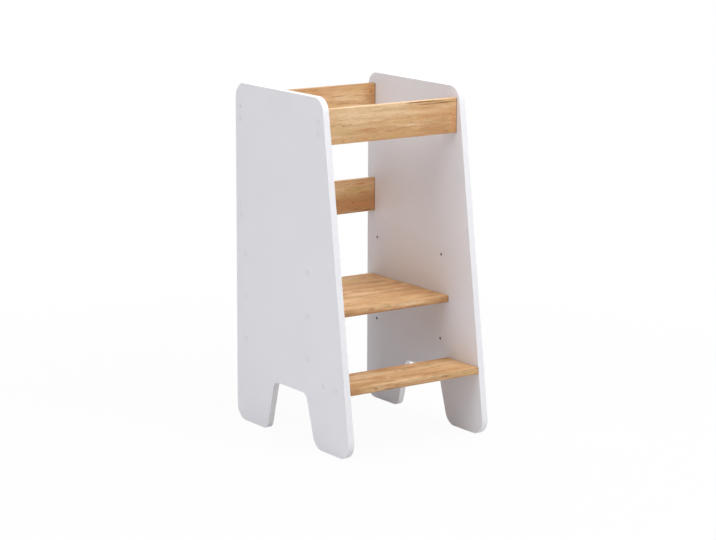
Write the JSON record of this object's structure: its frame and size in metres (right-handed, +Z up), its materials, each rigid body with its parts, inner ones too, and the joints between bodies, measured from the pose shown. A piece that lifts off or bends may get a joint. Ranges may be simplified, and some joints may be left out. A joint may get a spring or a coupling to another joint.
{
  "type": "toddler kitchen helper stool",
  "caption": "White side panels with slanted fronts and arched feet, joined by oak-look rails, a height-adjustable standing platform and a lower step",
  "frame": {"origin": "on the floor, halfway across the stool and halfway between the front toes and the rear edges of the panels", "axes": "+X to the right as seen from the front, +Y to the rear, +Z up; the child climbs in from the front, at -Y"},
  "size_m": [0.4424, 0.519, 0.9],
  "materials": {
    "white_board": "white melamine laminate, fine satin texture",
    "white_edging": "white ABS edging, satin",
    "oak_board": "golden oak-look laminate, grain along the board, satin",
    "oak_edging": "oak-look ABS edging, satin",
    "zinc_steel": "zinc-plated",
    "white_cap": "moulded white plastic, satin"
  },
  "bodies": {
    "root": {"left_side_panel": "white_board", "left_panel_edging": "white_edging", "left_arch_edging": "white_edging", "left_front_foot_edging": "white_edging", "left_rear_foot_edging": "white_edging", "left_screw_caps": "white_cap", "left_hole_plugs": "white_cap", "right_side_panel": "white_board", "right_panel_edging": "white_edging", "right_arch_edging": "white_edging", "right_front_foot_edging": "white_edging", "right_rear_foot_edging": "white_edging", "right_screw_caps": "white_cap", "right_hole_plugs": "white_cap", "front_top_rail": "oak_board", "front_top_rail_edging": "oak_edging", "rear_top_rail": "oak_board", "rear_top_rail_edging": "oak_edging", "rear_mid_rail": "oak_board", "rear_mid_rail_edging": "oak_edging", "platform": "oak_board", "platform_edging": "oak_edging", "lower_step": "oak_board", "lower_step_edging": "oak_edging", "front_top_rail_screws": "zinc_steel", "rear_top_rail_screws": "zinc_steel", "rear_mid_rail_screws": "zinc_steel", "lower_step_screws": "zinc_steel", "platform_bolts": "zinc_steel", "platform_barrel_nuts": "zinc_steel"}
  },
  "joints": []
}
